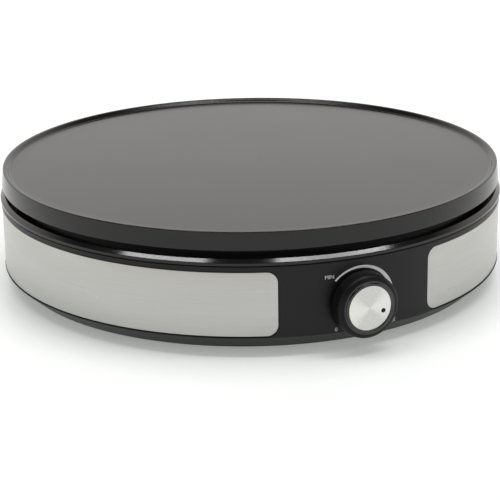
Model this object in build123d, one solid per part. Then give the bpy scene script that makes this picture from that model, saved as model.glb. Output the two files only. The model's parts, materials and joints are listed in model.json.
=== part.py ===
from build123d import *
import os
from math import asin, cos, degrees, pi, radians, sin, sqrt, tan

# Electric crepe maker. Millimetres, +Z up. The origin lies on the plate's axis at table level,
# and the control knob faces -Y.

# ---------------------------------------------------------------- heights, stacked from the table up
foot_gap = 3.5                 # table to the housing's lowest edge
base_height = 10.8             # cone at the foot of the housing
panel_margin_low = 1.2
panel_height = 46.4
panel_margin_high = 4.9
rim_face_height = 2.1
rim_shoulder_height = 2.5
plate_gap = 5.6                # dark slot between the rim and the plate
plate_side_height = 13.3

# ---------------------------------------------------------------- cooking plate
plate_diameter = 380.0         # across the lip's top edge
plate_flare = 1.2              # how much wider the skirt is at its foot
plate_thickness = 4.5
skirt_wall = 4.0
lip_height = 2.9
lip_width = 2.8
lip_slope = 50.5               # degrees, inner side of the lip
lip_crown_round = 2.6
lip_edge_round = 0.8
boss_inset = 35.0              # fixing bosses inside the element's circle
boss_radius = 6.0
boss_height = 5.0
spacer_wall = 3.0              # plate spacers, outside their screws
blind_floor = 1.5              # metal left above a blind hole

# ---------------------------------------------------------------- housing
body_reveal = 2.4              # housing wall outside the plate's lip, radially
shell_wall = 3.0
base_inset = 12.4              # how far the cone at the foot draws in
base_edge_round = 1.4          # where the cone meets the wall
base_foot_round = 0.5
rim_proud = 0.5
rim_shoulder_width = 2.9
rim_wall = 2.5
crown_round = 0.8              # both edges of the rim's sloping shoulder
seam_gap = 0.8                 # shadow groove under the rim
seam_depth = 1.3
seam_round = 0.3               # edges on each side of that groove
upstand_round = 0.6
upstand_inset = 8.0            # lip of the shoulder to the upstand
upstand_height = 7.0
shelf_drop = 3.0               # shelf below the deck
shelf_width = 23.5             # ledge inside the rim that carries the heat shield
spigot_depth = 6.8
spigot_wall = 2.9
post_radius = 4.5
post_inset = 15.5              # post centres inside the upstand
post_count = 6
cover_inset = 14.4             # bottom cover's edge inside the housing wall
cover_thickness = 2.5
cover_seat = 6.0               # ledge that the cover bears on
ledge_thickness = 2.5
fascia_span = 35.0             # degrees of plain wall at the front and at the back

# ---------------------------------------------------------------- steel side panels
panel_thickness = 0.8
panel_sunk = 0.4               # panel's face inside the housing's face
panel_corner = 8.0
panel_groove = 0.7             # gap round each panel

# ---------------------------------------------------------------- control knob, along its own axis
knob_height = 34.8             # axis above the table
knob_gap = 2.0                 # fascia to the knob's back edge
knob_length = 14.0
knob_back_radius = 23.1
knob_front_radius = 22.8
knob_edge_round = 4.0
knob_back_round = 0.5
bead_radius = 18.2             # raised ring round the knob's disc
bead_height = 1.0
bead_round = 0.9
knob_wall = 2.6
knob_web = 2.7
hub_radius = 6.0
insert_radius = 16.1
insert_thickness = 1.0
insert_sunk = 0.8
dot_radius = 1.6
dot_circle = 10.6
dot_angle = 107.0              # degrees clockwise from the top, seen from the front
clip_thickness = 0.6
clip_width = 3.0
clip_gap = 30.0                # degrees

# ---------------------------------------------------------------- thermostat
shaft_radius = 3.0
shaft_flat = 1.6               # flat's distance from the shaft's axis
shaft_reach = 11.5             # fascia to the shaft's tip
shaft_tail = 12.0              # length inside the thermostat body
shaft_end_gap = 0.3
collar_radius = 4.5
collar_sunk = 0.6              # collar's end inside the fascia's face
pad_depth = 4.4                # flat mounting pad behind the fascia
pad_width = 44.0
pad_height = 36.0
bracket_width = 40.0
bracket_height = 20.0
bracket_thickness = 1.5
thermostat_width = 22.0
thermostat_height = 32.0
thermostat_depth = 25.0
thermostat_screw_pitch = 28.0
tab_pitch = 11.0
tab_width = 6.3
tab_thickness = 0.8
tab_length = 8.0

# ---------------------------------------------------------------- heater and sensors
element_inset = 24.0           # element's circle inside the heat shield's floor
element_radius = 3.3
element_side_gap = 1.1         # terminal block's side to the leads at the two cold ends
element_bend = 12.0
element_drop = 22.0            # straight length of a cold end
rib_width = 3.0
rib_height = 5.0
pin_radius = 1.0
pin_length = 12.0
bulb_radius = 2.5
bulb_length = 70.0
bulb_inset = 55.0              # bulb inside the element's circle, at the front
capillary_radius = 0.8
capillary_offset_x = 14.0      # bulb's end to the capillary's hole in the heat shield
capillary_offset_y = 20.0      # bulb's axis to that hole
clip_strap = 1.0
clip_strap_width = 12.0
clip_ear = 6.0                 # strap's side to its screw
cutout_offset = 45.0
cutout_radius = 8.0
cutout_height = 9.0
cutout_tab_pitch = 8.0
cutout_flange_thickness = 1.2

# ---------------------------------------------------------------- heat shield
shield_thickness = 0.8
shield_depth = 4.0
shield_edge_gap = 0.5
shield_screw_inset = 7.0
shield_flange = 25.0
shield_hole_clearance = 3.7
earth_offset = 12.0            # earth screw beside the terminal block's middle
earth_setback = 26.0           # earth screw in front of the terminal block
earth_tag_thickness = 0.8
earth_tag_radius = 4.5
earth_tab_drop = 8.0
earth_nut_height = 2.4

# ---------------------------------------------------------------- feet, inlet and terminals
foot_radius = 11.0
foot_inset = 28.0              # foot centres inside the bottom cover's edge
foot_socket = 1.0
foot_taper = 1.0
foot_boss_height = 9.0
foot_counterbore = 2.3
well_depth = 2.2               # sunk seats of the cover's screws
gland_height = 27.0
gland_bore = 3.7               # radius, for a round mains cord
gland_neck = 6.0
gland_flange = 8.5
gland_reach = 12.8
gland_taper = 0.5
gland_round = 0.8
gland_flange_thickness = 3.0
gland_tail = 9.0
gland_nut_thickness = 4.0
gland_nut_radius = 9.5
block_inset = 40.0             # block's middle inside the bottom cover's edge
block_width = 33.0
block_depth = 20.0
block_height = 16.0
block_pad = 5.0                # raised seat moulded on the bottom cover
terminal_pitch = 10.0
terminal_height = 8.0          # sleeve axis above the block's seat
sleeve_radius = 2.6
lead_radius = 1.4
sleeve_bore = 1.6
sleeve_sunk = 0.5              # sleeve ends inside the block's faces
vent_count = 24
vent_circle = 66.0
vent_length = 28.0
vent_width = 3.5

# ---------------------------------------------------------------- screws and clearances
small_screw = 1.7              # shank radius
main_screw = 2.0
screw_grip = 6.0               # length of thread in what a screw holds
thread_wall = 2.2              # wall of a boss round its screw
head_factor = 2.0              # head radius over shank radius
head_height = 2.0
head_sunk = 0.2                # sunk heads below their face
head_margin = 0.6
over = 1.0                     # how far a cutter runs past what it cuts
fit = 0.1                      # radial or facing clearance of a fixed seat
running = 0.05                 # radial clearance of a turning or screwed fit
hole_clearance = 0.3           # radial clearance of a through hole round a screw

# ---------------------------------------------------------------- levels and radii that follow
wall_foot_z = foot_gap + base_height
panel_low_z = wall_foot_z + panel_margin_low
panel_high_z = panel_low_z + panel_height
seam_z = panel_high_z + panel_margin_high
shoulder_low_z = seam_z + rim_face_height
deck_z = shoulder_low_z + rim_shoulder_height
plate_foot_z = deck_z + plate_gap
plate_top_z = plate_foot_z + plate_side_height
surface_z = plate_top_z - lip_height
underside_z = surface_z - plate_thickness
boss_foot_z = underside_z - boss_height
shelf_z = deck_z - shelf_drop
shelf_low_z = shelf_z - rim_wall
shield_low_z = shelf_z - shield_depth
shield_floor_z = shield_low_z + shield_thickness
cover_z = foot_gap + cover_thickness
ledge_z = cover_z + ledge_thickness
post_foot_z = cover_z + well_depth

screw_head = head_factor * main_screw
small_head = head_factor * small_screw
plate_radius = plate_diameter / 2
shell_radius = plate_radius + body_reveal
shell_inner = shell_radius - shell_wall
base_radius = shell_radius - base_inset
rim_radius = shell_radius + rim_proud
shoulder_radius = rim_radius - rim_shoulder_width
upstand_outer = shoulder_radius - upstand_inset
upstand_inner = upstand_outer - rim_wall
shelf_inner = upstand_inner - shelf_width
post_circle = upstand_inner - post_inset
shield_radius = upstand_inner - shield_edge_gap
shield_floor_radius = shield_radius - shield_flange
flange_screw_circle = shield_radius - shield_screw_inset
cover_radius = shell_radius - cover_inset
panel_outer = shell_radius - panel_sunk
panel_inner = panel_outer - panel_thickness
panel_half_span = 90.0 - fascia_span / 2
pad_face = shell_wall + pad_depth
thermostat_front = pad_face + bracket_thickness
thermostat_back = thermostat_front + thermostat_depth
thermostat_back_y = thermostat_back - shell_radius
element_circle = shield_floor_radius - element_inset
boss_circle = element_circle - boss_inset
bulb_offset = element_circle - bulb_inset
foot_circle = cover_radius - foot_inset
block_offset = cover_radius - block_inset
block_front_y = block_offset - block_depth / 2
block_seat_z = cover_z + block_pad
terminal_z = block_seat_z + terminal_height
element_z = underside_z - element_radius - fit
cold_end_z = element_z - element_bend - element_drop
bulb_z = underside_z - bulb_radius - fit
cutout_low_z = underside_z - fit - cutout_height
lead_floor_z = cover_z + lead_radius + 3 * fit

BASE = (Align.CENTER, Align.CENTER, Align.MIN)
TOP = (Align.CENTER, Align.CENTER, Align.MAX)

# Knob frame: origin on the fascia, X to the right, Y up, Z outwards.
front = Plane(origin=(0, -shell_radius, knob_height), x_dir=(1, 0, 0), z_dir=(0, -1, 0))
# Inlet frame: origin on the rear wall, Z outwards.
rear = Plane(origin=(0, shell_radius, gland_height), x_dir=(-1, 0, 0), z_dir=(0, 1, 0))


# ---------------------------------------------------------------- helpers
def lathe(corners):
    """Solid of revolution about Z from (radius, height, rounding) corners."""
    outline = make_face(Polyline(*[(r, 0, z) for r, z, _ in corners], close=True))
    for r, z, rounding in corners:
        if rounding > 0:
            outline = fillet(outline.vertices().sort_by_distance((r, 0, z))[0], rounding)
    return revolve(outline, Axis.Z)


def around(radius, angle, z=0.0):
    """Place on a circle about the main axis, turned with it."""
    return Rot(0, 0, angle) * Pos(radius, 0, z)


def rod(radius, low, high):
    """Upright cylinder between two levels."""
    return Pos(0, 0, low) * Cylinder(radius, high - low, align=BASE)


def group(items):
    """Several separate solids in one sub-part."""
    return Compound(children=[solid for item in items for solid in item.solids()])


def screw(shank, length):
    """Cross-head screw pointing down -Z from the seat under its head at z = 0."""
    head = head_factor * shank
    body = rod(head, 0, head_height) + rod(shank, -length, 0)
    for turn in (0, 90):
        bar = Box(1.2 * head, 0.35 * head, head_height, align=BASE)
        body -= Rot(0, 0, turn) * Pos(0, 0, head_height / 2) * bar
    return body


def lowered(places, shank, length):
    """Screws that point down from their places."""
    return group([place * screw(shank, length) for place in places])


def raised(places, shank, length):
    """Screws that point up from their places."""
    return lowered([place * Rot(180, 0, 0) for place in places], shank, length)


def curved_sheet(inner, outer, low, high, half_span, corner, middle):
    """Sheet curved about the main axis, with its four corners rounded."""
    outline = [(inner, 0, low), (outer, 0, low), (outer, 0, high), (inner, 0, high)]
    section = make_face(Polyline(*outline, close=True))
    sheet = Rot(0, 0, middle - half_span) * revolve(section, Axis.Z, 2 * half_span)
    thickness = outer - inner
    corners = sheet.edges().filter_by(lambda edge: abs(edge.length - thickness) < 0.01)
    return fillet(corners, corner)


def lead(name, radius, *points):
    """Round lead or tube along straight runs joined by arcs as large as the runs allow."""
    points = [Vector(*point) for point in points]
    runs = [end - start for start, end in zip(points, points[1:])]
    radii = []
    for run, after in zip(runs, runs[1:]):
        turn = radians(run.get_angle(after))
        radii.append(0.45 * min(run.length, after.length) / tan(turn / 2))
    path = FilletPolyline(*points, radius=radii)
    solid = sweep(Plane(origin=points[0], z_dir=runs[0]) * Circle(radius), path=path)
    stretch = solid.volume / (pi * radius**2 * path.length)
    print(f"{name}: {path.length:.0f} mm, smallest arc {min(radii):.1f} mm, volume ratio {stretch:.4f}")
    return solid


# ---------------------------------------------------------------- places that several pieces share
def boss_places(z):
    return [around(boss_circle, angle, z) for angle in (45, 135, 225, 315)]


def post_places(z):
    return [around(post_circle, 360 * i / post_count, z) for i in range(post_count)]


def flange_screw_places(z):
    return [around(flange_screw_circle, 360 * (i + 0.5) / post_count, z) for i in range(post_count)]


def foot_places(z):
    return {
        "foot_front_left": around(foot_circle, 225, z),
        "foot_front_right": around(foot_circle, 315, z),
        "foot_rear_left": around(foot_circle, 135, z),
        "foot_rear_right": around(foot_circle, 45, z),
    }


element_end_x = block_width / 2 + element_side_gap + lead_radius + element_bend
element_end_angle = degrees(asin(element_end_x / element_circle))
clip_screw_y = -bulb_offset + bulb_radius + clip_strap + clip_ear
clip_place = Pos(0, clip_screw_y, 0)
cutout_place = Pos(-cutout_offset, 0, 0)
cutout_screw_reach = cutout_radius + small_head + head_margin
earth_place = Pos(-earth_offset, block_front_y - earth_setback, 0)
block_screw_place = Pos(terminal_pitch / 2, block_offset, 0)
capillary_hole = (bulb_length / 2 + capillary_offset_x, -bulb_offset - capillary_offset_y)


# ---------------------------------------------------------------- plate and heater
def cooking_plate():
    """Cast plate: flat face, sloped lip, deep skirt, element ribs and tapped bosses underneath."""
    slope = radians(lip_slope)
    lip_run = lip_height / tan(slope)
    cove = 0.35 * lip_height / sin(slope) / tan(slope / 2)
    land = plate_radius - lip_width
    skirt_foot = plate_radius + plate_flare
    plate = lathe([
        (0, surface_z, 0),
        (land - lip_run, surface_z, cove),
        (land, plate_top_z, lip_crown_round),
        (plate_radius, plate_top_z, lip_edge_round),
        (skirt_foot, plate_foot_z, lip_edge_round),
        (skirt_foot - skirt_wall, plate_foot_z, 0),
        (skirt_foot - skirt_wall, underside_z, skirt_wall / 2),
        (0, underside_z, 0),
    ])
    channel = element_radius + fit
    for inner in (element_circle - channel - rib_width, element_circle + channel):
        plate += rod(inner + rib_width, underside_z - rib_height, underside_z + fit) \
            - rod(inner, underside_z - 2 * rib_height, underside_z + fit)
    plate -= Pos(0, element_circle, underside_z) * Box(
        2 * element_end_x, 4 * channel, 2 * rib_height, align=TOP)
    for place in boss_places(boss_foot_z):
        plate += place * rod(boss_radius, 0, boss_height + fit)
        plate -= place * rod(main_screw + running, 0, screw_grip + over)
    for place in [clip_place, *cutout_screw_places(0)]:
        plate -= place * rod(small_screw + running, underside_z, surface_z - blind_floor)
    return plate


def element_path():
    """Tubular element: an open ring whose two ends bend down into cold ends."""
    start = 90 + element_end_angle
    sweep_angle = 360 - 2 * element_end_angle
    ring = CenterArc((0, 0, element_z), element_circle, start, sweep_angle)
    pieces = [ring]
    for at, way in ((ring @ 0, -(ring % 0)), (ring @ 1, ring % 1)):
        bend_end = at + way * element_bend + Vector(0, 0, -element_bend)
        bend = TangentArc(at, bend_end, tangent=way)
        pieces.append(bend)
        pieces.append(Line(bend_end, bend_end + Vector(0, 0, -element_drop)))
    return pieces


def heating_element():
    arc, bend_a, drop_a, bend_b, drop_b = element_path()
    tube = None
    for edge in (arc, bend_a, drop_a, bend_b, drop_b):
        section = Plane(origin=edge @ 0, z_dir=edge % 0) * Circle(element_radius)
        length = sweep(section, path=edge)
        tube = length if tube is None else tube + length
    return tube


def cold_end_tips():
    _, _, drop_a, _, drop_b = element_path()
    return [drop_a @ 1, drop_b @ 1]


def element_pins():
    return group([Pos(tip) * rod(pin_radius, -pin_length, 0) for tip in cold_end_tips()])


def cutout_screw_places(z):
    return [cutout_place * Pos(0, side * cutout_screw_reach, z) for side in (-1, 1)]


def thermal_cutout():
    """Snap disc in a flanged can, screwed against the plate's underside."""
    top = underside_z - fit
    body = rod(cutout_radius, cutout_low_z, top)
    body += Pos(0, 0, top - cutout_flange_thickness) * Box(
        cutout_radius, 2 * (cutout_screw_reach + small_head), cutout_flange_thickness, align=BASE)
    body = cutout_place * body
    for place in cutout_screw_places(0):
        body -= place * rod(small_screw + hole_clearance, top - 2 * cutout_flange_thickness, top + over)
    return body


def cutout_tabs():
    tab = Pos(0, 0, cutout_low_z - tab_length) * Box(tab_thickness, tab_width, tab_length, align=BASE)
    return group([cutout_place * Pos(side * cutout_tab_pitch / 2, 0, 0) * tab for side in (-1, 1)])


def cutout_screws():
    seat = underside_z - fit - cutout_flange_thickness
    length = cutout_flange_thickness + plate_thickness - blind_floor - fit
    return raised(cutout_screw_places(seat), small_screw, length)


def sensor_bulb():
    bulb = Rot(0, 90, 0) * Cylinder(bulb_radius, bulb_length)
    return Pos(0, -bulb_offset, bulb_z) * bulb


def bulb_clip():
    """Saddle strap over the sensor bulb with one screw ear."""
    hollow = bulb_radius + fit
    outside = hollow + clip_strap
    axis = Pos(0, -bulb_offset, bulb_z)
    seat_z = underside_z - fit
    saddle = axis * Rot(0, 90, 0) * Cylinder(outside, clip_strap_width)
    saddle += axis * Box(clip_strap_width, 2 * outside, seat_z - bulb_z, align=BASE)
    saddle -= axis * Rot(0, 90, 0) * Cylinder(hollow, 2 * clip_strap_width)
    saddle -= axis * Box(2 * clip_strap_width, 2 * hollow, 2 * outside, align=BASE)
    ear_start = hollow - bulb_offset
    ear_length = clip_screw_y + 2.5 * small_screw - ear_start
    ear = Box(clip_strap_width, ear_length, clip_strap, align=TOP)
    saddle += Pos(0, ear_start + ear_length / 2, seat_z) * ear
    return saddle - clip_place * rod(small_screw + hole_clearance, seat_z - 2 * clip_strap, underside_z)


def bulb_clip_screw():
    length = clip_strap + plate_thickness - blind_floor - fit
    seat = Pos(0, 0, underside_z - fit - clip_strap)
    return raised([clip_place * seat], small_screw, length)


# ---------------------------------------------------------------- heat shield and fixings
def heat_shield():
    """Shallow pressed pan between the heater and the wiring."""
    floor_r = shield_floor_radius
    pan = lathe([
        (0, shield_floor_z, 0),
        (floor_r - shield_thickness, shield_floor_z, 0),
        (floor_r - shield_thickness, shelf_z + shield_thickness, 0),
        (shield_radius, shelf_z + shield_thickness, 0),
        (shield_radius, shelf_z, 0),
        (floor_r, shelf_z, 0),
        (floor_r, shield_low_z, 0),
        (0, shield_low_z, 0),
    ])
    low = shield_low_z - over
    high = shelf_z + shield_thickness + over
    for tip in cold_end_tips():
        pan -= Pos(tip.X, tip.Y, 0) * rod(element_radius + shield_hole_clearance, low, high)
    pan -= cutout_place * rod(tab_width / 2 + cutout_tab_pitch + shield_hole_clearance, low, high)
    pan -= Pos(*capillary_hole, 0) * rod(capillary_radius + shield_hole_clearance, low, high)
    for place in boss_places(0) + flange_screw_places(0):
        pan -= place * rod(main_screw + hole_clearance, low, high)
    return pan - earth_place * rod(small_screw + hole_clearance, low, high)


def plate_spacers():
    spacer = rod(main_screw + spacer_wall, shield_floor_z, boss_foot_z)
    spacer -= rod(main_screw + hole_clearance, 0, plate_top_z)
    return group([place * spacer for place in boss_places(0)])


def plate_screws():
    length = boss_foot_z - shield_low_z + screw_grip
    return raised(boss_places(shield_low_z), main_screw, length)


def shield_screws():
    length = shield_thickness + screw_grip
    return lowered(flange_screw_places(shelf_z + shield_thickness), main_screw, length)


# ---------------------------------------------------------------- housing
def rim_ring():
    """Glossy crown of the housing: shoulder, recessed deck, upstand, shelf, spigot and screw posts."""
    spigot_outer = shell_inner - fit
    spigot_inner = spigot_outer - spigot_wall
    ring = lathe([
        (rim_radius, seam_z, seam_round),
        (rim_radius, shoulder_low_z, crown_round),
        (shoulder_radius, deck_z, crown_round),
        (upstand_outer, deck_z, 0),
        (upstand_outer, deck_z + upstand_height, upstand_round),
        (upstand_inner, deck_z + upstand_height, upstand_round),
        (upstand_inner, shelf_z, 0),
        (shelf_inner, shelf_z, 0),
        (shelf_inner, shelf_low_z, 0),
        (upstand_outer, shelf_low_z, 0),
        (upstand_outer, deck_z - rim_wall, 0),
        (spigot_inner, deck_z - rim_wall, 0),
        (spigot_inner, seam_z - spigot_depth, 0),
        (spigot_outer, seam_z - spigot_depth, 0),
        (spigot_outer, seam_z, 0),
    ])
    for place in post_places(0):
        ring += place * rod(post_radius, post_foot_z, shelf_low_z + rim_wall / 2)
        ring -= place * rod(main_screw + running, post_foot_z, post_foot_z + screw_grip + over)
    boss_low = shelf_z - screw_grip - 2 * over
    for place in flange_screw_places(0):
        ring += place * rod(main_screw + thread_wall, boss_low, shelf_z - rim_wall / 2)
        ring -= place * rod(main_screw + running, boss_low + over, shelf_z)
    return ring


def panel(side):
    return curved_sheet(
        panel_inner, panel_outer, panel_low_z, panel_high_z, panel_half_span, panel_corner, side)


def panel_recess(side):
    """Sinking in the wall that takes a side panel with an even groove round it."""
    groove_angle = panel_groove / panel_outer * 180 / pi
    return curved_sheet(
        panel_inner - fit, shell_radius + over, panel_low_z - panel_groove, panel_high_z + panel_groove,
        panel_half_span + groove_angle, panel_corner + panel_groove, side)


def thermostat_screw_places(depth):
    return [front * Pos(side * thermostat_screw_pitch / 2, 0, -depth) for side in (-1, 1)]


def housing_shell():
    """Drum wall with its cone foot, cover ledge, panel recesses and thermostat pad."""
    ledge_inner = cover_radius - cover_seat
    rise = base_height / base_inset
    inner_foot_z = foot_gap + shell_wall * sqrt(1 + rise**2)
    shell = lathe([
        (cover_radius + fit, foot_gap, 0),
        (base_radius, foot_gap, base_foot_round),
        (shell_radius, wall_foot_z, base_edge_round),
        (shell_radius, seam_z - seam_gap, seam_round),
        (shell_radius - seam_depth, seam_z - seam_gap, 0),
        (shell_radius - seam_depth, seam_z, 0),
        (shell_inner, seam_z, 0),
        (shell_inner, inner_foot_z + (shell_inner - base_radius) * rise, 0),
        (base_radius + (ledge_z - inner_foot_z) / rise, ledge_z, 0),
        (ledge_inner, ledge_z, 0),
        (ledge_inner, cover_z, 0),
        (cover_radius + fit, cover_z, 0),
    ])
    for side in (0, 180):
        shell -= panel_recess(side)
    pad = front * Pos(0, 0, -pad_face) * Box(pad_width, pad_height, pad_face, align=BASE)
    shell += pad & rod(shell_radius - shell_wall / 2, 0, seam_z)
    shell -= front * rod(collar_radius + hole_clearance, -2 * pad_face, over)
    head_depth = head_height + head_sunk
    for place in thermostat_screw_places(0):
        shell -= place * rod(main_screw + hole_clearance, -2 * pad_face, over)
        shell -= place * rod(screw_head + hole_clearance, -head_depth, over)
    return shell - rear * rod(gland_neck + fit, -2 * shell_wall, over)


def bottom_cover():
    """Vented disc that closes the housing, with foot sockets and screw bosses."""
    cover = rod(cover_radius, foot_gap, cover_z)
    slot = SlotOverall(vent_length, vent_width)
    vent = extrude(Plane.XY.offset(foot_gap - over) * slot, cover_thickness + 2 * over)
    for i in range(vent_count):
        cover -= around(vent_circle, 360 * (i + 0.5) / vent_count) * vent
    for place in foot_places(0).values():
        cover += place * rod(main_screw + thread_wall, cover_z, cover_z + foot_boss_height)
        cover -= place * rod(foot_radius + fit, 0, foot_gap + foot_socket)
        cover -= place * rod(main_screw + running, foot_gap, cover_z + foot_boss_height - over)
    for place in post_places(0):
        cover += place * rod(screw_head + thread_wall, cover_z, post_foot_z)
        cover -= place * rod(main_screw + hole_clearance, 0, post_foot_z + over)
        cover -= place * rod(screw_head + hole_clearance, 0, foot_gap + well_depth)
    cover += Pos(0, block_offset, cover_z) * Box(block_width, block_depth, block_pad, align=BASE)
    return cover - block_screw_place * rod(small_screw + running, foot_gap + over, block_seat_z)


def cover_screws():
    length = cover_thickness + screw_grip
    return raised(post_places(foot_gap + well_depth), main_screw, length)


def foot(place):
    """Rubber foot with a sunk hole for its screw."""
    body = lathe([
        (0, 0, 0),
        (foot_radius - foot_taper, 0, foot_taper),
        (foot_radius, foot_gap + foot_socket, 0),
        (0, foot_gap + foot_socket, 0),
    ])
    body -= rod(main_screw + hole_clearance, -over, foot_gap + foot_socket + over)
    body -= rod(screw_head + hole_clearance, -over, foot_counterbore)
    return place * body


def foot_screws():
    length = foot_gap + foot_socket - foot_counterbore + screw_grip
    return raised(foot_places(foot_counterbore).values(), main_screw, length)


# ---------------------------------------------------------------- knob, turning on the thermostat's shaft
def dot_centre():
    turn = radians(dot_angle)
    return Pos(dot_circle * sin(turn), dot_circle * cos(turn), 0)


def control_knob():
    """Hollow knob with a sunk face, a pip for the dot and a hub with a D hole."""
    front_z = knob_gap + knob_length
    floor_z = front_z - insert_sunk - insert_thickness - fit
    web_z = floor_z - knob_web
    recess = insert_radius + fit
    knob = lathe([
        (0, web_z, 0),
        (knob_back_radius - knob_wall, web_z, knob_wall / 2),
        (knob_back_radius - knob_wall, knob_gap, 0),
        (knob_back_radius, knob_gap, knob_back_round),
        (knob_front_radius, front_z - bead_height, knob_edge_round),
        (bead_radius, front_z - bead_height, 0),
        (bead_radius, front_z, bead_round),
        (recess, front_z, 0),
        (recess, floor_z, 0),
        (0, floor_z, 0),
    ])
    knob += rod(hub_radius, 2 * knob_gap, web_z + knob_web / 2)
    knob += dot_centre() * rod(dot_radius, floor_z - over, front_z - insert_sunk)
    bore = rod(shaft_radius + running, 0, shaft_reach + shaft_end_gap)
    bore -= Pos(0, shaft_flat + running, 0) * Box(4 * hub_radius, hub_radius, 4 * shaft_reach, align=(
        Align.CENTER, Align.MIN, Align.CENTER))
    return front * (knob - bore)


def knob_insert():
    face_z = knob_gap + knob_length - insert_sunk
    disc = rod(insert_radius, face_z - insert_thickness, face_z)
    return front * (disc - dot_centre() * rod(dot_radius + running, 0, 2 * face_z))


def knob_clip():
    """Open spring ring that grips the knob's hub."""
    inner = hub_radius + running
    ring = rod(inner + clip_thickness, 0, clip_width) - rod(inner, -over, clip_width + over)
    gap = 2 * (inner + clip_thickness) * sin(radians(clip_gap / 2))
    ring -= Pos(0, inner, 0) * Box(gap, 2 * hub_radius, 4 * clip_width)
    return front * Pos(0, 0, 3 * knob_gap) * ring


def thermostat_shaft():
    shaft = rod(shaft_radius, -thermostat_front - shaft_tail, shaft_reach)
    flat = Pos(0, shaft_flat, knob_gap) * Box(4 * shaft_radius, shaft_radius, shaft_reach, align=(
        Align.CENTER, Align.MIN, Align.MIN))
    return front * (shaft - flat)


def thermostat_body():
    """Ceramic-cased thermostat with its mounting collar."""
    case = Box(thermostat_width, thermostat_height, thermostat_depth, align=BASE)
    case = Pos(0, 0, -thermostat_back) * case
    case += rod(collar_radius, -thermostat_front - over, -collar_sunk)
    return front * (case - rod(shaft_radius + running, -thermostat_front - shaft_tail - shaft_end_gap, over))


def thermostat_bracket():
    plate = Pos(0, 0, -thermostat_front) * Box(bracket_width, bracket_height, bracket_thickness, align=BASE)
    plate = front * (plate - rod(collar_radius + running, -2 * thermostat_front, over))
    for place in thermostat_screw_places(0):
        plate -= place * rod(main_screw + running, -2 * thermostat_front, over)
    return plate


def thermostat_screws():
    seat = head_height + head_sunk
    length = thermostat_front - seat + over
    return lowered(thermostat_screw_places(seat), main_screw, length)


def thermostat_tabs():
    tab = Pos(0, 0, -thermostat_back) * Box(tab_thickness, tab_width, tab_length, align=TOP)
    return group([front * Pos(side * tab_pitch / 2, 0, 0) * tab for side in (-1, 1)])


# ---------------------------------------------------------------- inlet and wiring
def cord_gland():
    """Inlet bush with a tapered nose, for a round mains cord."""
    nose = lathe([
        (0, fit, 0),
        (gland_flange, fit, 0),
        (gland_flange, fit + gland_flange_thickness, gland_round),
        (gland_neck + gland_taper, fit + gland_flange_thickness, 0),
        (gland_neck - gland_taper, gland_reach, gland_round),
        (0, gland_reach, 0),
    ])
    nose += rod(gland_neck, -shell_wall - gland_tail, over)
    return rear * (nose - rod(gland_bore, -2 * gland_reach - gland_tail, 2 * gland_reach))


def gland_nut():
    seat = shell_radius - sqrt(shell_inner**2 - gland_nut_radius**2) + fit
    nut = extrude(RegularPolygon(gland_nut_radius, 6), gland_nut_thickness)
    nut = Pos(0, 0, -seat - gland_nut_thickness) * nut
    return rear * (nut - rod(gland_neck + running, -4 * gland_tail, over))


def terminal_places():
    return [Pos(i * terminal_pitch, block_offset, terminal_z) * Rot(90, 0, 0) for i in (-1, 0, 1)]


def terminal_block():
    block = Pos(0, block_offset, block_seat_z) * Box(block_width, block_depth, block_height, align=BASE)
    for place in terminal_places():
        block -= place * Cylinder(sleeve_radius + fit, 2 * block_depth)
    return block - block_screw_place * rod(small_screw + hole_clearance, 0, plate_top_z)


def terminal_block_screw():
    length = block_height + block_pad + cover_thickness - 1.5 * over
    return lowered([block_screw_place * Pos(0, 0, block_seat_z + block_height)], small_screw, length)


def terminal_sleeves():
    sleeve = Cylinder(sleeve_radius, block_depth - 2 * sleeve_sunk) - Cylinder(sleeve_bore, 2 * block_depth)
    return group([place * sleeve for place in terminal_places()])


def earth_tag():
    """Ring tag under the heat shield with a tab turned down for the earth lead."""
    tag = rod(earth_tag_radius, -earth_tag_thickness, 0)
    tag += Pos(0, -earth_tag_radius, 0) * Box(tab_width, earth_tag_thickness, earth_tab_drop, align=TOP)
    tag -= rod(small_screw + hole_clearance, -over, over)
    return earth_place * Pos(0, 0, shield_low_z) * tag


def earth_screw():
    length = earth_tag_thickness + shield_thickness + earth_nut_height + over
    seat = shield_low_z - earth_tag_thickness
    return raised([earth_place * Pos(0, 0, seat)], small_screw, length)


def earth_nut():
    nut = extrude(RegularPolygon(small_head, 6), earth_nut_height)
    nut -= rod(small_screw + running, -over, earth_nut_height + over)
    return earth_place * Pos(0, 0, shield_floor_z) * nut


# Lead ends meet a tab, pin or sleeve; the points between are the route that the lead lies in.
lead_end_gap = 0.2
pin_left, pin_right = sorted(cold_end_tips(), key=lambda tip: tip.X)
pin_low_z = cold_end_z - pin_length - lead_end_gap
tab_end_y = thermostat_back_y + tab_length + lead_end_gap
cutout_end_z = cutout_low_z - tab_length - lead_end_gap
sleeve_end_y = block_front_y + sleeve_sunk - lead_end_gap
tab_x = tab_pitch / 2
cutout_x = cutout_tab_pitch / 2


def lead_live():
    return lead(
        "lead_live", lead_radius,
        (0, sleeve_end_y, terminal_z), (0, sleeve_end_y - 22, 17), (10, 80, 11), (26, 42, lead_floor_z),
        (34, 0, lead_floor_z), (31, -45, lead_floor_z + 0.5), (20, -88, 12), (10, tab_end_y + 34, 25),
        (tab_x, tab_end_y + 16, knob_height), (tab_x, tab_end_y, knob_height))


def lead_switched():
    return lead(
        "lead_switched", lead_radius,
        (-tab_x, tab_end_y, knob_height), (-tab_x, tab_end_y + 18, knob_height),
        (-12, tab_end_y + 42, 24), (-22, -80, 16), (-32, -50, 13), (-39, -22, 18),
        (cutout_x - cutout_offset, -2, 36), (cutout_x - cutout_offset, 0, cutout_end_z))


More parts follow.
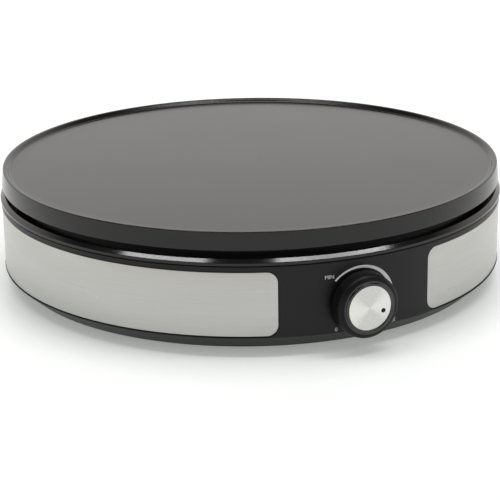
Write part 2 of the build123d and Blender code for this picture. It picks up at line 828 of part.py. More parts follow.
def lead_element():
    return lead(
        "lead_element", lead_radius,
        (-cutout_x - cutout_offset, 0, cutout_end_z), (-cutout_x - cutout_offset, 2, 42), (-50, 18, 22),
        (-50, 45, 13), (-46, 75, 11), (pin_left.X - 23, pin_left.Y - 27, 11),
        (pin_left.X - 13, pin_left.Y - 9, 13), (pin_left.X, pin_left.Y, 17),
        (pin_left.X, pin_left.Y, pin_low_z))


def lead_neutral():
    return lead(
        "lead_neutral", lead_radius,
        (terminal_pitch, sleeve_end_y, terminal_z), (terminal_pitch, sleeve_end_y - 20, 18),
        (terminal_pitch + 12, sleeve_end_y - 35, 14), (terminal_pitch + 31, sleeve_end_y - 35, 11),
        (pin_right.X + 30, pin_right.Y - 21, 11), (pin_right.X + 19, pin_right.Y - 5, 13),
        (pin_right.X, pin_right.Y, 17), (pin_right.X, pin_right.Y, pin_low_z))


def lead_earth():
    tab = earth_place.position + Vector(0, -earth_tag_radius, 0)
    return lead(
        "lead_earth", lead_radius,
        (-terminal_pitch, sleeve_end_y, terminal_z), (-terminal_pitch, sleeve_end_y - 20, 20),
        (tab.X, tab.Y, 36), (tab.X, tab.Y, shield_low_z - earth_tab_drop - lead_end_gap))


def capillary_tube():
    hole_x, hole_y = capillary_hole
    return lead(
        "capillary_tube", capillary_radius,
        (bulb_length / 2, -bulb_offset, bulb_z), (hole_x - 4, -bulb_offset, bulb_z),
        (hole_x, hole_y + 8, bulb_z - 6), (hole_x, hole_y, shield_low_z), (hole_x - 2, hole_y - 9, 56),
        (hole_x - 12, hole_y - 24, 48), (22, thermostat_back_y + 24, 44), (4, thermostat_back_y + 13, 44),
        (4, thermostat_back_y + lead_end_gap, 44))


# ---------------------------------------------------------------- all sub-parts
pieces = {
    "cooking_plate": cooking_plate(),
    "heating_element": heating_element(),
    "element_pins": element_pins(),
    "thermal_cutout": thermal_cutout(),
    "cutout_tabs": cutout_tabs(),
    "cutout_screws": cutout_screws(),
    "sensor_bulb": sensor_bulb(),
    "bulb_clip": bulb_clip(),
    "bulb_clip_screw": bulb_clip_screw(),
    "capillary_tube": capillary_tube(),
    "heat_shield": heat_shield(),
    "plate_spacers": plate_spacers(),
    "plate_screws": plate_screws(),
    "shield_screws": shield_screws(),
    "rim_ring": rim_ring(),
    "housing_shell": housing_shell(),
    "side_panel_right": panel(0),
    "side_panel_left": panel(180),
    "bottom_cover": bottom_cover(),
    "cover_screws": cover_screws(),
    "foot_screws": foot_screws(),
    "control_knob": control_knob(),
    "knob_insert": knob_insert(),
    "knob_clip": knob_clip(),
    "thermostat_shaft": thermostat_shaft(),
    "thermostat_body": thermostat_body(),
    "thermostat_bracket": thermostat_bracket(),
    "thermostat_screws": thermostat_screws(),
    "thermostat_tabs": thermostat_tabs(),
    "cord_gland": cord_gland(),
    "gland_nut": gland_nut(),
    "terminal_block": terminal_block(),
    "terminal_sleeves": terminal_sleeves(),
    "terminal_block_screw": terminal_block_screw(),
    "earth_tag": earth_tag(),
    "earth_screw": earth_screw(),
    "earth_nut": earth_nut(),
    "lead_live": lead_live(),
    "lead_switched": lead_switched(),
    "lead_element": lead_element(),
    "lead_neutral": lead_neutral(),
    "lead_earth": lead_earth(),
}
for name, place in foot_places(0).items():
    pieces[name] = foot(place)

os.makedirs("parts", exist_ok=True)
for name, piece in pieces.items():
    export_step(piece, f"parts/{name}.step")
print(f"{len(pieces)} sub-parts, {plate_top_z:.1f} mm high, housing {2 * rim_radius:.1f} mm across")
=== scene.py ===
import json
from math import asin, cos, pi, radians, sin, tan

import bpy
from mathutils import Matrix, Quaternion, Vector

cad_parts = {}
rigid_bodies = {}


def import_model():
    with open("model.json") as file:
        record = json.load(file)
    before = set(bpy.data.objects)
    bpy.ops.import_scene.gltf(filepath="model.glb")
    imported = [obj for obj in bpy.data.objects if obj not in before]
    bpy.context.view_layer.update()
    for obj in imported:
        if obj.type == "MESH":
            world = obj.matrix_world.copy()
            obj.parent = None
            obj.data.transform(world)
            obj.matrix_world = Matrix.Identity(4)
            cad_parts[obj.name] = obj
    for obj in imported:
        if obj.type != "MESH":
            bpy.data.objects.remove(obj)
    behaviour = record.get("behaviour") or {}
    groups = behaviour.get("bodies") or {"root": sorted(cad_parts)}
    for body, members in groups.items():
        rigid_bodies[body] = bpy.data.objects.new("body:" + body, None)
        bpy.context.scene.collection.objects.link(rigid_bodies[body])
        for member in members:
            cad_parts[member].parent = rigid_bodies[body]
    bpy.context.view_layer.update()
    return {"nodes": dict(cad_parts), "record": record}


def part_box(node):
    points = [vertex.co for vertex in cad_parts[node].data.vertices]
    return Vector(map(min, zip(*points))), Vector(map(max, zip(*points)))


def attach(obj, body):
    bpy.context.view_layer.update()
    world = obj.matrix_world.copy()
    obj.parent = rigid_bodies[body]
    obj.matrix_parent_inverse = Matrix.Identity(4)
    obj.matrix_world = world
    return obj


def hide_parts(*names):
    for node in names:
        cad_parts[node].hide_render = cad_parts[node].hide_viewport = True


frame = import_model()

# Electric crepe maker. Metres, +Z up. The plate's axis is the Z axis, and the knob faces -Y.
MM = 0.001

# ---------------------------------------------------------------- sizes taken from the frame
shell_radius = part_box("housing_shell")[1].x
panel_low, panel_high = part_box("side_panel_right")
panel_radius = panel_high.x
panel_half_angle = asin(panel_high.y / panel_radius)
panel_length = 2 * panel_half_angle * panel_radius
panel_height = panel_high.z - panel_low.z
knob_low, knob_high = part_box("control_knob")
knob_height = (knob_low.z + knob_high.z) / 2
plate_low, plate_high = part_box("cooking_plate")
element_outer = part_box("heating_element")[1].x

# ---------------------------------------------------------------- sizes of what is added here
# The cooking plate's casting.
plate_radius = 190.0 * MM       # at the lip's top edge
plate_flare = 1.2 * MM          # how much wider the skirt is at its foot
plate_thickness = 4.5 * MM
plate_columns = 360
skirt_wall = 4.0 * MM
lip_height = 2.9 * MM
lip_width = 2.8 * MM            # the lip's top, from where its inner slope would meet it
lip_slope = radians(50.5)       # inner side of the lip
lip_crown_round = 2.6 * MM
lip_edge_round = 0.8 * MM
lip_cove_share = 0.35           # of the slope's length that the cove at its foot takes up
flat_margin = 10.0 * MM         # ring that keeps the flat's shading level
corner_steps = 6                # faces round each rounding of the section
element_radius = 3.3 * MM
element_circle = element_outer - element_radius
rib_side = 3.4 * MM             # element's middle to the two ribs that hold it
rib_width = 3.0 * MM
rib_height = 5.0 * MM
boss_inset = 35.0 * MM          # fixing bosses inside the element's circle
boss_radius = 6.0 * MM
boss_height = 5.0 * MM
boss_columns = 64
boss_angles = (45, 135, 225, 315)   # degrees about the plate's axis
merge_distance = 0.01 * MM      # closes a rib where its last ring meets its first

# The steel side panels.
panel_thickness = 0.8 * MM
panel_corner = 8.0 * MM
panel_corner_steps = 10
panel_edge = 0.25 * MM          # broken edge of the cut sheet
panel_edge_angle = radians(40)
panel_columns = 96
panel_middles = dict(side_panel_right=90, side_panel_left=-90)  # degrees anticlockwise from the knob

# The knob's bright bead, and the two paler fans painted on its disc as a highlight.
bead_radius = 17.7 * MM
bead_half_width = 1.55 * MM
highlight_fan_angle = radians(85)         # the painted highlight fans point this way, clockwise from the top

# The printed scale, about the knob's axis. Its angles are degrees clockwise from the top.
print_thickness = 0.05 * MM
print_lift = 0.03 * MM          # keeps the print clear of the wall's facets
print_start = 5.0 * MM          # how far in front of the wall a print is made, before it is laid on
scale_outer = 26.5 * MM
scale_inner = 24.2 * MM
scale_shift = 0.5 * MM          # both circles lie off centre, so that the band widens clockwise
scale_widest = 125.0
scale_start = -47.0
scale_end = 118.0
scale_points = 180
word_height = 2.7 * MM
words = (
    dict(name="scale_min", body="MIN", radius=30.7 * MM, angle=-47.8, width=6.4 * MM),
    dict(name="scale_off", body="0", radius=25.5 * MM, angle=-135.4, width=1.8 * MM),
    dict(name="scale_max", body="MAX", radius=31.3 * MM, angle=126.5, width=6.8 * MM),
)

crease_angle = radians(35)      # edges that are sharper than this stay sharp

# ---------------------------------------------------------------- camera and studio
camera_lens = 124.9             # millimetres, as is the sensor's width
camera_sensor = 36.0
camera_place = Vector((-502.8, -1196.09, 452.81)) * MM
camera_aim = Vector((-0.85, 0.36, 13.2)) * MM
camera_roll = radians(-0.9)

# Level axes of the studio, as seen by the eye: to its right, away from it and up.
side = Vector((0.9222, -0.3869, 0))
away = Vector((0.3869, 0.9222, 0))
up = Vector((0, 0, 1))
room_light = 0.54
backdrop_tilt = 0.25            # how much higher the white backdrop reaches behind the object
floor_size = 14.0
floor_glow = 0.28               # near the object, and twice as much far from it
glow_near = 0.4                 # metres from the plate's axis
glow_far = 1.6
# Softboxes overhead. The two narrow ones stand where the rim's shoulder mirrors them, and the wide one
# lights the plate and keeps the shadow soft. Their ends are places to the side and away.
softboxes = (
    dict(name="softbox_right", height=1.4, start=(0.17, -0.435), end=(1.03, -0.06), width=0.1, watts=4.8),
    dict(name="softbox_left", height=1.4, start=(-0.95, -0.115), end=(-0.31, -0.405), width=0.1, watts=3.4),
    dict(name="softbox_top", height=1.5, start=(-0.45, 0.2), end=(0.45, 0.2), width=0.8, watts=8.0),
)


def make_camera():
    """Long lens, a little above the rim and left of the knob."""
    data = bpy.data.cameras.new("camera")
    data.lens = camera_lens
    data.sensor_width = camera_sensor
    camera = bpy.data.objects.new("camera", data)
    bpy.context.scene.collection.objects.link(camera)
    camera.location = camera_place
    look = (camera_aim - camera_place).to_track_quat("-Z", "Y")
    camera.rotation_mode = "QUATERNION"
    camera.rotation_quaternion = look @ Quaternion((0, 0, 1), camera_roll)
    bpy.context.scene.camera = camera


# ---------------------------------------------------------------- modelling helpers
def deselect():
    """Leave edit mode and select nothing."""
    if bpy.context.object and bpy.context.object.mode == "EDIT":
        bpy.ops.object.mode_set(mode="OBJECT")
    bpy.ops.object.select_all(action="DESELECT")


def pick(piece):
    """Select one piece and nothing else."""
    deselect()
    piece.select_set(True)
    bpy.context.view_layer.objects.active = piece


def edit():
    """Go into edit mode with everything selected."""
    bpy.ops.object.mode_set(mode="EDIT")
    bpy.ops.mesh.select_all(action="SELECT")


def pull(rise, scale, level):
    """In edit mode, extrude what is selected up to a level and scale it there about the Z axis."""
    bpy.ops.mesh.extrude_region_move(TRANSFORM_OT_translate={"value": (0, 0, rise)})
    bpy.ops.transform.resize(value=(scale, scale, 1), center_override=(0, 0, level))


def turn_outwards():
    """In edit mode, turn all faces outwards, and leave edit mode."""
    bpy.ops.mesh.select_all(action="SELECT")
    bpy.ops.mesh.normals_make_consistent(inside=False)
    bpy.ops.object.mode_set(mode="OBJECT")


def place_mesh(piece):
    """Put a piece's place, turn and scale into its mesh."""
    pick(piece)
    bpy.ops.object.transform_apply(location=True, rotation=True, scale=True)


def modify(piece, kind, **settings):
    """Add a modifier and apply it."""
    pick(piece)
    modifier = piece.modifiers.new(kind.lower(), kind)
    for name, value in settings.items():
        setattr(modifier, name, value)
    bpy.ops.object.modifier_apply(modifier=modifier.name)


def smooth(piece):
    """Shade a piece smooth between its creases."""
    pick(piece)
    bpy.ops.object.shade_smooth_by_angle(angle=crease_angle)


def corners(piece):
    """A mesh's lowest and highest corner."""
    return Vector(piece.bound_box[0]), Vector(piece.bound_box[6])


def finished(piece, name, look):
    """Name a piece, give it its finish and let it ride on the base."""
    piece.name = piece.data.name = name
    piece.data.materials.clear()
    piece.data.materials.append(finishes[look])
    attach(piece, "base")


# ---------------------------------------------------------------- materials
noise_low = 0.3                 # nearly all of a noise lies between these
noise_high = 0.7


def linear(colour):
    """Linear RGBA of an sRGB hex colour."""
    channels = [int(colour[i:i + 2], 16) / 255 for i in (1, 3, 5)]
    return [c / 12.92 if c <= 0.04045 else ((c + 0.055) / 1.055) ** 2.4 for c in channels] + [1.0]


def add(tree, kind, inputs=None, stops=None, **settings):
    """Add a shader node: settings are its own, inputs are values or other nodes' outputs, and stops are
    a ramp's places and colours."""
    node = tree.nodes.new("ShaderNode" + kind)
    for name, value in settings.items():
        setattr(node, name, value)
    for socket, value in (inputs or {}).items():
        if isinstance(value, bpy.types.NodeSocket):
            tree.links.new(value, node.inputs[socket])
        else:
            node.inputs[socket].default_value = value
    if stops:
        for element, (position, colour) in zip(node.color_ramp.elements, stops):
            element.position = position
            element.color = colour
    return node


def base(name, **sockets):
    """New material with its shader's plain values set: returns it with its tree, shader and place."""
    material = bpy.data.materials.new(name)
    material.use_nodes = True
    tree = material.node_tree
    shader = tree.nodes["Principled BSDF"]
    for socket, value in sockets.items():
        shader.inputs[socket.replace("_", " ")].default_value = value
    place = add(tree, "TexCoord").outputs["Object"]
    return material, tree, shader, place


def grain(tree, place, size, stretch=(1, 1, 1), detail=2.0):
    """Noise whose spots are about size across, in metres, stretched along the axes."""
    scaled = add(tree, "Mapping", {"Vector": place, "Scale": [1 / s for s in stretch]}).outputs["Vector"]
    return add(tree, "TexNoise", {"Vector": scaled, "Scale": 1 / size, "Detail": detail})


def between(tree, noise, low, high):
    """A number that runs from low to high with a noise."""
    limits = {"From Min": noise_low, "From Max": noise_high, "To Min": low, "To Max": high}
    return add(tree, "MapRange", {"Value": noise, **limits}).outputs["Result"]


def shades(tree, noise, dark, light):
    """A colour that runs from dark to light with a noise."""
    stops = [(noise_low, linear(dark)), (noise_high, linear(light))]
    return add(tree, "ValToRGB", {"Fac": noise}, stops=stops).outputs["Color"]


def bump(tree, shader, height, depth):
    """Relief of a real depth in metres."""
    normal = add(tree, "Bump", {"Height": height, "Distance": depth, "Strength": 1.0}).outputs["Normal"]
    tree.links.new(normal, shader.inputs["Normal"])


def wire(tree, shader, **links):
    """Link outputs to the shader's sockets."""
    for socket, output in links.items():
        tree.links.new(output, shader.inputs[socket.replace("_", " ")])


def nonstick():
    # PTFE coating sprayed on cast aluminium: a near-black satin, finely speckled, with the soft
    # waviness of a sprayed coat, so that it turns pale grey at a low angle.
    material, tree, shader, place = base("nonstick_coating", IOR=1.45)
    speckle = grain(tree, place, 0.9 * MM)
    cloud = grain(tree, place, 60 * MM)
    spray = grain(tree, place, 0.6 * MM)
    wire(tree, shader,
         Base_Color=shades(tree, speckle.outputs["Fac"], "#090909", "#0f0f0e"),
         Roughness=between(tree, cloud.outputs["Fac"], 0.17, 0.20))
    bump(tree, shader, spray.outputs["Fac"], 0.006 * MM)
    return material


def gloss_black():
    # Polished ABS moulding: deep black with a clear reflection and the faintest flow waviness.
    material, tree, shader, place = base("polished_abs", IOR=1.46)
    flow = grain(tree, place, 25 * MM)
    haze = grain(tree, place, 1.2 * MM)
    wire(tree, shader,
         Base_Color=shades(tree, flow.outputs["Fac"], "#0b0b0c", "#101011"),
         Roughness=between(tree, haze.outputs["Fac"], 0.10, 0.15))
    bump(tree, shader, flow.outputs["Fac"], 0.02 * MM)
    return material


def satin_black():
    # ABS from a spark-eroded mould: neutral black, a dull even sheen and a fine tooth, drawn coarser
    # than a real one so that it shows.
    material, tree, shader, place = base("satin_abs", IOR=1.36)
    tooth = grain(tree, place, 0.5 * MM)
    cloud = grain(tree, place, 30 * MM)
    wire(tree, shader,
         Base_Color=shades(tree, cloud.outputs["Fac"], "#0d0d0d", "#111111"),
         Roughness=between(tree, tooth.outputs["Fac"], 0.36, 0.46))
    bump(tree, shader, tooth.outputs["Fac"], 0.006 * MM)
    return material


def underside_black():
    # Glass-filled polypropylene: dull charcoal with a coarse tooth and pale flow clouds.
    material, tree, shader, place = base("glass_filled_pp", IOR=1.48)
    tooth = grain(tree, place, 0.7 * MM, detail=3.0)
    cloud = grain(tree, place, 18 * MM)
    wire(tree, shader,
         Base_Color=shades(tree, cloud.outputs["Fac"], "#19191a", "#212122"),
         Roughness=between(tree, tooth.outputs["Fac"], 0.55, 0.70))
    bump(tree, shader, tooth.outputs["Fac"], 0.03 * MM)
    return material


def panel_steel():
    # Stainless steel sheet brushed along its length: level hairlines that smear reflections upright,
    # drawn coarser than real ones so that they show.
    material, tree, shader, _ = base("brushed_stainless", Metallic=1.0, Anisotropic=0.4)
    sheet = add(tree, "UVMap", uv_map="UVMap").outputs["UV"]
    hair = grain(tree, sheet, 0.9 * MM, stretch=(60, 1, 1), detail=4.0)
    cloud = grain(tree, sheet, 22 * MM, stretch=(4, 1, 1))
    wire(tree, shader,
         Base_Color=shades(tree, hair.outputs["Fac"], "#b5b5b1", "#bbbbb7"),
         Roughness=between(tree, cloud.outputs["Fac"], 0.27, 0.32),
         Tangent=add(tree, "Tangent", direction_type="UV_MAP", uv_map="UVMap").outputs["Tangent"])
    bump(tree, shader, hair.outputs["Fac"], 0.006 * MM)
    return material


def about_knob(tree, place):
    """Place relative to the knob's axis, flattened onto the knob's face."""
    centred = add(tree, "Mapping", {"Vector": place, "Location": (0, 0, -knob_height)}).outputs["Vector"]
    return add(tree, "VectorMath", {0: centred, 1: (1, 0, 1)}, operation="MULTIPLY").outputs["Vector"]


def knob_black():
    # Black ABS of the knob: a dull fine-grained barrel, and a smoked-chrome bead round the disc.
    material, tree, shader, place = base("knob_abs", IOR=1.28)
    radius = add(tree, "VectorMath", {0: about_knob(tree, place)}, operation="LENGTH").outputs["Value"]
    on_bead = {0: radius, 1: bead_radius, 2: bead_half_width}
    bead = add(tree, "Math", on_bead, operation="COMPARE").outputs["Value"]
    haze = grain(tree, place, 0.8 * MM)
    cloud = grain(tree, place, 9 * MM)
    black = shades(tree, cloud.outputs["Fac"], "#0b0b0c", "#101011")
    chrome = shades(tree, cloud.outputs["Fac"], "#404040", "#484848")
    dull = between(tree, haze.outputs["Fac"], 0.40, 0.48)
    colour = add(tree, "Mix", {"Factor": bead, "A": black, "B": chrome}, data_type="RGBA")
    rough = add(tree, "Mix", {"Factor": bead, "A": dull, "B": 0.16})
    wire(tree, shader,
         Base_Color=colour.outputs["Result"],
         Metallic=bead,
         Roughness=rough.outputs["Result"])
    bump(tree, shader, haze.outputs["Fac"], 0.002 * MM)
    return material


def knob_aluminium():
    # Aluminium disc faced on a lathe: bright, with two paler fans painted into its colour as a highlight,
    # where its turning marks would catch the light.
    material, tree, shader, place = base("spun_aluminium", Metallic=1.0)
    # Painted highlight: the colour is palest along the fans' line through the axis and darkest across it.
    outward = add(tree, "VectorMath", {0: about_knob(tree, place)}, operation="NORMALIZE")
    along_highlight_fans = {0: outward.outputs["Vector"], 1: (sin(highlight_fan_angle), 0, cos(highlight_fan_angle))}
    aligned = add(tree, "VectorMath", along_highlight_fans, operation="DOT_PRODUCT")
    highlight_fan = add(tree, "Math", {0: aligned.outputs["Value"]}, operation="ABSOLUTE")
    stops = [(0.60, linear("#c9c9c5")), (0.97, linear("#dfdfda"))]
    cut = grain(tree, place, 2 * MM)
    wire(tree, shader,
         Base_Color=add(tree, "ValToRGB", {"Fac": highlight_fan.outputs["Value"]}, stops=stops).outputs["Color"],
         Roughness=between(tree, cut.outputs["Fac"], 0.26, 0.30))
    bump(tree, shader, cut.outputs["Fac"], 0.004 * MM)
    return material


def metal(name, dark, light, rough, grain_size, depth):
    """Bare or plated metal with a fine uneven surface."""
    material, tree, shader, place = base(name, Metallic=1.0)
    skin = grain(tree, place, grain_size, detail=3.0)
    stain = grain(tree, place, 14 * MM)
    wire(tree, shader,
         Base_Color=shades(tree, stain.outputs["Fac"], dark, light),
         Roughness=between(tree, skin.outputs["Fac"], rough - 0.06, rough + 0.06))
    bump(tree, shader, skin.outputs["Fac"], depth)
    return material


def sheathed_steel():
    # Steel sheath of the element, browned and blued by its own heat.
    return metal("heat_tinted_steel", "#6f665a", "#8b8680", 0.42, 1.0 * MM, 0.01 * MM)


def zinc_steel():
    # Bright zinc plating with a faintly cool, cloudy shine.
    return metal("zinc_plating", "#b4b7b9", "#c8cacb", 0.30, 0.6 * MM, 0.004 * MM)


def aluminised_steel():
    # Hot-dipped aluminised sheet: dull silver with small crystals.
    return metal("aluminised_sheet", "#aeb1b2", "#c3c5c5", 0.42, 2.5 * MM, 0.008 * MM)


def copper():
    # Drawn copper, warm and slightly darkened by handling.
    return metal("drawn_copper", "#a8684a", "#c98a6a", 0.34, 0.5 * MM, 0.004 * MM)


def brass():
    # Machined brass, yellow with fine tool marks.
    return metal("machined_brass", "#b59650", "#cdb069", 0.28, 0.4 * MM, 0.004 * MM)


def ceramic():
    # Unglazed steatite: creamy, chalky and finely pitted.
    material, tree, shader, place = base("steatite", IOR=1.55)
    pits = grain(tree, place, 0.6 * MM, detail=4.0)
    cloud = grain(tree, place, 8 * MM)
    wire(tree, shader,
         Base_Color=shades(tree, cloud.outputs["Fac"], "#d8d2c2", "#e6e1d4"),
         Roughness=between(tree, pits.outputs["Fac"], 0.62, 0.78))
    bump(tree, shader, pits.outputs["Fac"], 0.02 * MM)
    return material


def soft(name, dark, light, rough, grain_size, depth):
    """Rubber or silicone with a dry skin."""
    material, tree, shader, place = base(name, IOR=1.45)
    skin = grain(tree, place, grain_size, detail=3.0)
    bloom = grain(tree, place, 9 * MM)
    wire(tree, shader,
         Base_Color=shades(tree, bloom.outputs["Fac"], dark, light),
         Roughness=between(tree, skin.outputs["Fac"], rough - 0.08, rough + 0.08))
    bump(tree, shader, skin.outputs["Fac"], depth)
    return material


def rubber():
    # Moulded rubber of the feet: dull, with a trace of grey bloom.
    return soft("foot_rubber", "#1b1b1b", "#262626", 0.75, 0.5 * MM, 0.02 * MM)


def lead_brown():
    # Brown silicone insulation, a little waxy.
    return soft("silicone_brown", "#5c3826", "#6c4430", 0.5, 0.4 * MM, 0.005 * MM)


def lead_blue():
    # Blue silicone insulation, a little waxy.
    return soft("silicone_blue", "#2c5c9c", "#3a6cae", 0.5, 0.4 * MM, 0.005 * MM)


def lead_green():
    # Green silicone insulation with yellow bands. The bands repeat every 6 mm across the housing: at a
    # scale of 1, a Wave node has 20 radians in a metre.
    material, tree, shader, place = base("silicone_green_yellow", IOR=1.45, Roughness=0.5)
    bands = {"Vector": place, "Scale": 2 * pi / 20 / (6 * MM)}
    band = add(tree, "TexWave", bands, bands_direction="X").outputs["Fac"]
    stops = [(0.48, linear("#4f8a2a")), (0.52, linear("#c9c132"))]
    skin = grain(tree, place, 0.4 * MM)
    wire(tree, shader, Base_Color=add(tree, "ValToRGB", {"Fac": band}, stops=stops).outputs["Color"])
    bump(tree, shader, skin.outputs["Fac"], 0.005 * MM)
    return material


def scale_ink():
    # Pad-printed epoxy ink: a thin, dull, slightly uneven grey-white.
    material, tree, shader, place = base("pad_printing_ink", IOR=1.5)
    coat = grain(tree, place, 0.5 * MM)
    wire(tree, shader,
         Base_Color=shades(tree, coat.outputs["Fac"], "#e0e0e0", "#ececec"),
         Roughness=between(tree, coat.outputs["Fac"], 0.45, 0.55))
    bump(tree, shader, coat.outputs["Fac"], 0.003 * MM)
    return material


slots = {part["node"]: part["material_slot"] for part in frame["record"]["subparts"]}
finishes = {make.__name__: make() for make in (
    nonstick, gloss_black, satin_black, underside_black, panel_steel, knob_black, knob_aluminium,
    sheathed_steel, zinc_steel, aluminised_steel, copper, brass, ceramic, rubber, lead_brown, lead_blue,
    lead_green, scale_ink)}


def dress_frame():
    """Give every CAD node the finish of its slot."""
    for node, slot in slots.items():
        piece = frame["nodes"][node]
        piece.data.materials.clear()
        piece.data.materials.append(finishes[slot])


# ---------------------------------------------------------------- cooking plate
def rounded(section):
    """Points of a section from (radius, height, rounding) corners, of which the first and last are ends."""
    points = [Vector(section[0][:2])]
    for before, corner, after in zip(section, section[1:], section[2:]):
        at = Vector(corner[:2])
        rounding = corner[2]
        if rounding == 0:
            points.append(at)
            continue
        back = (Vector(before[:2]) - at).normalized()
        on = (Vector(after[:2]) - at).normalized()
        half = back.angle(on) / 2
        centre = at + (back + on).normalized() * rounding / sin(half)
        first, last = (at + way * rounding / tan(half) - centre for way in (back, on))
        sweep = pi - 2 * half
        for i in range(corner_steps + 1):
            turn = sweep * i / corner_steps
            points.append(centre + (first * sin(sweep - turn) + last * sin(turn)) / sin(sweep))
    points.append(Vector(section[-1][:2]))
    return points


def rib(inner, top):
    """In edit mode, a ring of rectangular section that hangs from a level."""
    outer = inner + rib_width
    foot = top - rib_height
    bpy.ops.mesh.primitive_circle_add(vertices=plate_columns, radius=outer, location=(0, 0, top))
    pull(-rib_height, 1, foot)
    pull(0, inner / outer, foot)
    pull(rib_height, 1, top)
    pull(0, outer / inner, top)
    bpy.ops.mesh.select_linked()
    bpy.ops.mesh.remove_doubles(threshold=merge_distance)


def boss(angle, top):
    """In edit mode, a fixing boss that hangs from a level, at an angle about the plate's axis."""
    out = element_circle - boss_inset
    place = (out * cos(radians(angle)), out * sin(radians(angle)), top - boss_height / 2)
    bpy.ops.mesh.primitive_cylinder_add(
        vertices=boss_columns, radius=boss_radius, depth=boss_height, location=place)


def plate_casting():
    """The plate, turned from the middle of its underside round the skirt and over the lip to the flat,
    with the element's two ribs and the fixing bosses under it."""
    rim = plate_radius
    foot = rim + plate_flare
    inside = foot - skirt_wall
    top = plate_high.z
    flat = top - lip_height
    ceiling = flat - plate_thickness
    land = rim - lip_width
    slope_foot = land - lip_height / tan(lip_slope)
    cove = lip_cove_share * lip_height / sin(lip_slope) / tan(lip_slope / 2)
    section = rounded([
        (inside - 2 * flat_margin, ceiling, 0),
        (inside - flat_margin, ceiling, 0),
        (inside, ceiling, skirt_wall / 2),
        (inside, plate_low.z, 0),
        (foot, plate_low.z, lip_edge_round),
        (rim, top, lip_edge_round),
        (land, top, lip_crown_round),
        (slope_foot, flat, cove),
        (slope_foot - flat_margin, flat, 0),
        (slope_foot - 2 * flat_margin, flat, 0)])
    start = section[0]
    deselect()
    bpy.ops.mesh.primitive_circle_add(
        vertices=plate_columns, radius=start.x, fill_type="NGON", location=(0, 0, start.y))
    casting = bpy.context.object
    place_mesh(casting)
    edit()
    for here, after in zip(section, section[1:]):
        pull(after.y - here.y, after.x / here.x, after.y)
    rib(element_circle - rib_side - rib_width, ceiling)
    rib(element_circle + rib_side, ceiling)
    for angle in boss_angles:
        boss(angle, ceiling)
    turn_outwards()
    smooth(casting)
    finished(casting, "cooking_plate_casting", "nonstick")
    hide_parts("cooking_plate")


# ---------------------------------------------------------------- steel side panels
def side_panel(node, middle):
    """A flat cut sheet with rounded corners, rolled to the housing's radius and turned to its side."""
    deselect()
    bpy.ops.mesh.primitive_plane_add(size=1, rotation=(pi / 2, 0, 0))
    sheet = bpy.context.object
    sheet.scale = (panel_length, panel_height, 1)
    sheet.location = (0, 0, (panel_low.z + panel_high.z) / 2)
    place_mesh(sheet)
    edit()
    bpy.ops.mesh.bevel(offset=panel_corner, segments=panel_corner_steps, affect="VERTICES")
    for i in range(1, panel_columns):
        along = panel_length * (i / panel_columns - 0.5)
        bpy.ops.mesh.select_all(action="SELECT")
        bpy.ops.mesh.bisect(plane_co=(along, 0, 0), plane_no=(1, 0, 0))
    bpy.ops.object.mode_set(mode="OBJECT")
    unrolled = sheet.data.uv_layers["UVMap"].data
    for corner in sheet.data.loops:
        at = sheet.data.vertices[corner.vertex_index].co
        unrolled[corner.index].uv = (at.x, at.z)
    modify(sheet, "SIMPLE_DEFORM", deform_method="BEND", deform_axis="Z", angle=2 * panel_half_angle)
    sheet.location = (0, -panel_radius, 0)
    place_mesh(sheet)
    sheet.rotation_euler = (0, 0, radians(middle))
    place_mesh(sheet)
    modify(sheet, "SOLIDIFY", thickness=panel_thickness, offset=-1)
    modify(sheet, "BEVEL", width=panel_edge, segments=2, limit_method="ANGLE", angle_limit=panel_edge_angle)
    smooth(sheet)
    finished(sheet, node + "_sheet", "panel_steel")
    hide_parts(node)


# ---------------------------------------------------------------- printed temperature scale
def on_dial(radius, angle):
    """Point in front of the wall at a radius and clockwise angle about the knob's axis."""
    turn = radians(angle)
    return Vector((radius * sin(turn), -shell_radius - print_start, knob_height + radius * cos(turn)))


def onto_wall(piece):
    """Lay a flat print on the housing's wall and give it the thickness of its ink."""
    modify(piece, "SHRINKWRAP", target=frame["nodes"]["housing_shell"], wrap_method="PROJECT",
           use_project_y=True, use_positive_direction=True, use_negative_direction=False,
           offset=print_lift + print_thickness)
    modify(piece, "SOLIDIFY", thickness=print_thickness, offset=-1)


def scale_band():
    """A band between two circles, cut to the knob's range, that widens from the lowest setting."""
    outer = on_dial(scale_shift, scale_widest)
    inner = on_dial(-scale_shift, scale_widest)
    deselect()
    bpy.ops.mesh.primitive_circle_add(
        vertices=scale_points, radius=scale_outer, location=outer, rotation=(pi / 2, 0, 0))
    band = bpy.context.object
    place_mesh(band)
    edit()
    bpy.ops.mesh.extrude_region_move(TRANSFORM_OT_translate={"value": inner - outer})
    bpy.ops.transform.resize(value=[scale_inner / scale_outer] * 3, center_override=inner)
    for angle, way in ((scale_start, 1), (scale_end, -1)):
        bpy.ops.mesh.select_all(action="SELECT")
        across = (way * cos(radians(angle)), 0, -way * sin(radians(angle)))
        bpy.ops.mesh.bisect(plane_co=on_dial(0, 0), plane_no=across, clear_inner=True)
    turn_outwards()
    onto_wall(band)
    finished(band, "scale_band", "scale_ink")


def scale_word(name, body, radius, angle, width):
    """A word or figure of the scale, upright, centred on its place."""
    deselect()
    bpy.ops.object.text_add(rotation=(pi / 2, 0, 0))
    word = bpy.context.object
    word.data.body = body
    bpy.ops.object.convert(target="MESH")
    low, high = corners(word)
    word.scale = (width / (high.x - low.x), word_height / (high.y - low.y), 1)
    place_mesh(word)
    low, high = corners(word)
    word.location = on_dial(radius, angle) - (low + high) / 2
    place_mesh(word)
    onto_wall(word)
    finished(word, name, "scale_ink")


# ---------------------------------------------------------------- stage and light
def seen(tree):
    """1 for what the eye, a reflection or a clear piece shows, and 0 where a surface is only lit."""
    rays = add(tree, "LightPath").outputs
    shown = rays["Is Camera Ray"]
    for kind in ("Is Glossy Ray", "Is Transmission Ray"):
        shown = add(tree, "Math", {0: shown, 1: rays[kind]}, operation="MAXIMUM").outputs["Value"]
    return shown


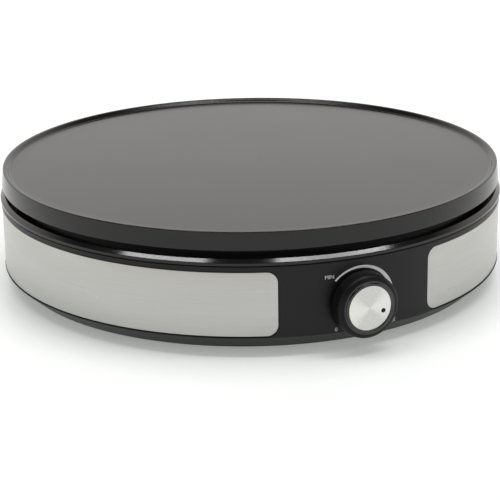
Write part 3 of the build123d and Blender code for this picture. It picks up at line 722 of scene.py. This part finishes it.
def make_stage():
    """White acrylic floor with a little glow of its own to the eye, under the object's soft shadow."""
    deselect()
    bpy.ops.mesh.primitive_plane_add(size=floor_size)
    floor = bpy.context.object
    floor.name = "floor"
    material, tree, shader, place = base("white_acrylic", IOR=1.25, Roughness=0.3)
    shader.inputs["Base Color"].default_value = linear("#dedede")
    distance = add(tree, "VectorMath", {0: place}, operation="LENGTH").outputs["Value"]
    limits = {"From Min": glow_near, "From Max": glow_far, "To Min": floor_glow, "To Max": 2 * floor_glow}
    glow = add(tree, "MapRange", {"Value": distance, **limits}).outputs["Result"]
    share = add(tree, "Math", {0: seen(tree), 1: glow}, operation="MULTIPLY").outputs["Value"]
    white = add(tree, "Emission", {"Color": linear("#fafffb"), "Strength": share}).outputs["Emission"]
    both = add(tree, "AddShader", {0: shader.outputs["BSDF"], 1: white}).outputs["Shader"]
    tree.links.new(both, tree.nodes["Material Output"].inputs["Surface"])
    floor.data.materials.append(material)


def make_world():
    """Even grey studio light. The eye and reflections see a white backdrop round the object, highest
    behind it, under a dark ceiling."""
    world = bpy.data.worlds.new("studio")
    world.use_nodes = True
    bpy.context.scene.world = world
    tree = world.node_tree
    light = tree.nodes["Background"]
    light.inputs["Color"].default_value = linear("#ffffff")
    light.inputs["Strength"].default_value = room_light
    ray = add(tree, "TexCoord").outputs["Generated"]
    height = add(tree, "VectorMath", {0: ray, 1: up - backdrop_tilt * away}, operation="DOT_PRODUCT")
    fall = [(0.35, linear("#fffbf7")), (0.60, linear("#5c5c5c"))]
    room = add(tree, "ValToRGB", {"Fac": height.outputs["Value"]}, stops=fall).outputs["Color"]
    backdrop = add(tree, "Background", {"Color": room, "Strength": 1.0}).outputs["Background"]
    mixed = add(tree, "MixShader", {0: seen(tree), 1: light.outputs["Background"], 2: backdrop})
    tree.links.new(mixed.outputs["Shader"], tree.nodes["World Output"].inputs["Surface"])


def softbox(name, height, start, end, width, watts):
    """Strip softbox between two points overhead, facing the object."""
    first, last = (height * up + right * side + back * away for right, back in (start, end))
    data = bpy.data.lights.new(name, "AREA")
    data.shape = "RECTANGLE"
    data.size = (last - first).length
    data.size_y = width
    data.energy = watts
    lamp = bpy.data.objects.new(name, data)
    bpy.context.scene.collection.objects.link(lamp)
    lamp.location = (first + last) / 2
    along = (last - first).normalized()
    across = lamp.location.cross(along).normalized()
    lamp.rotation_mode = "QUATERNION"
    lamp.rotation_quaternion = Matrix((along, across, along.cross(across))).transposed().to_quaternion()


# ---------------------------------------------------------------- the scene
make_camera()
dress_frame()
plate_casting()
for node, middle in panel_middles.items():
    side_panel(node, middle)
scale_band()
for word in words:
    scale_word(**word)

bpy.context.scene.view_settings.view_transform = "Standard"
make_stage()
make_world()
for light in softboxes:
    softbox(**light)
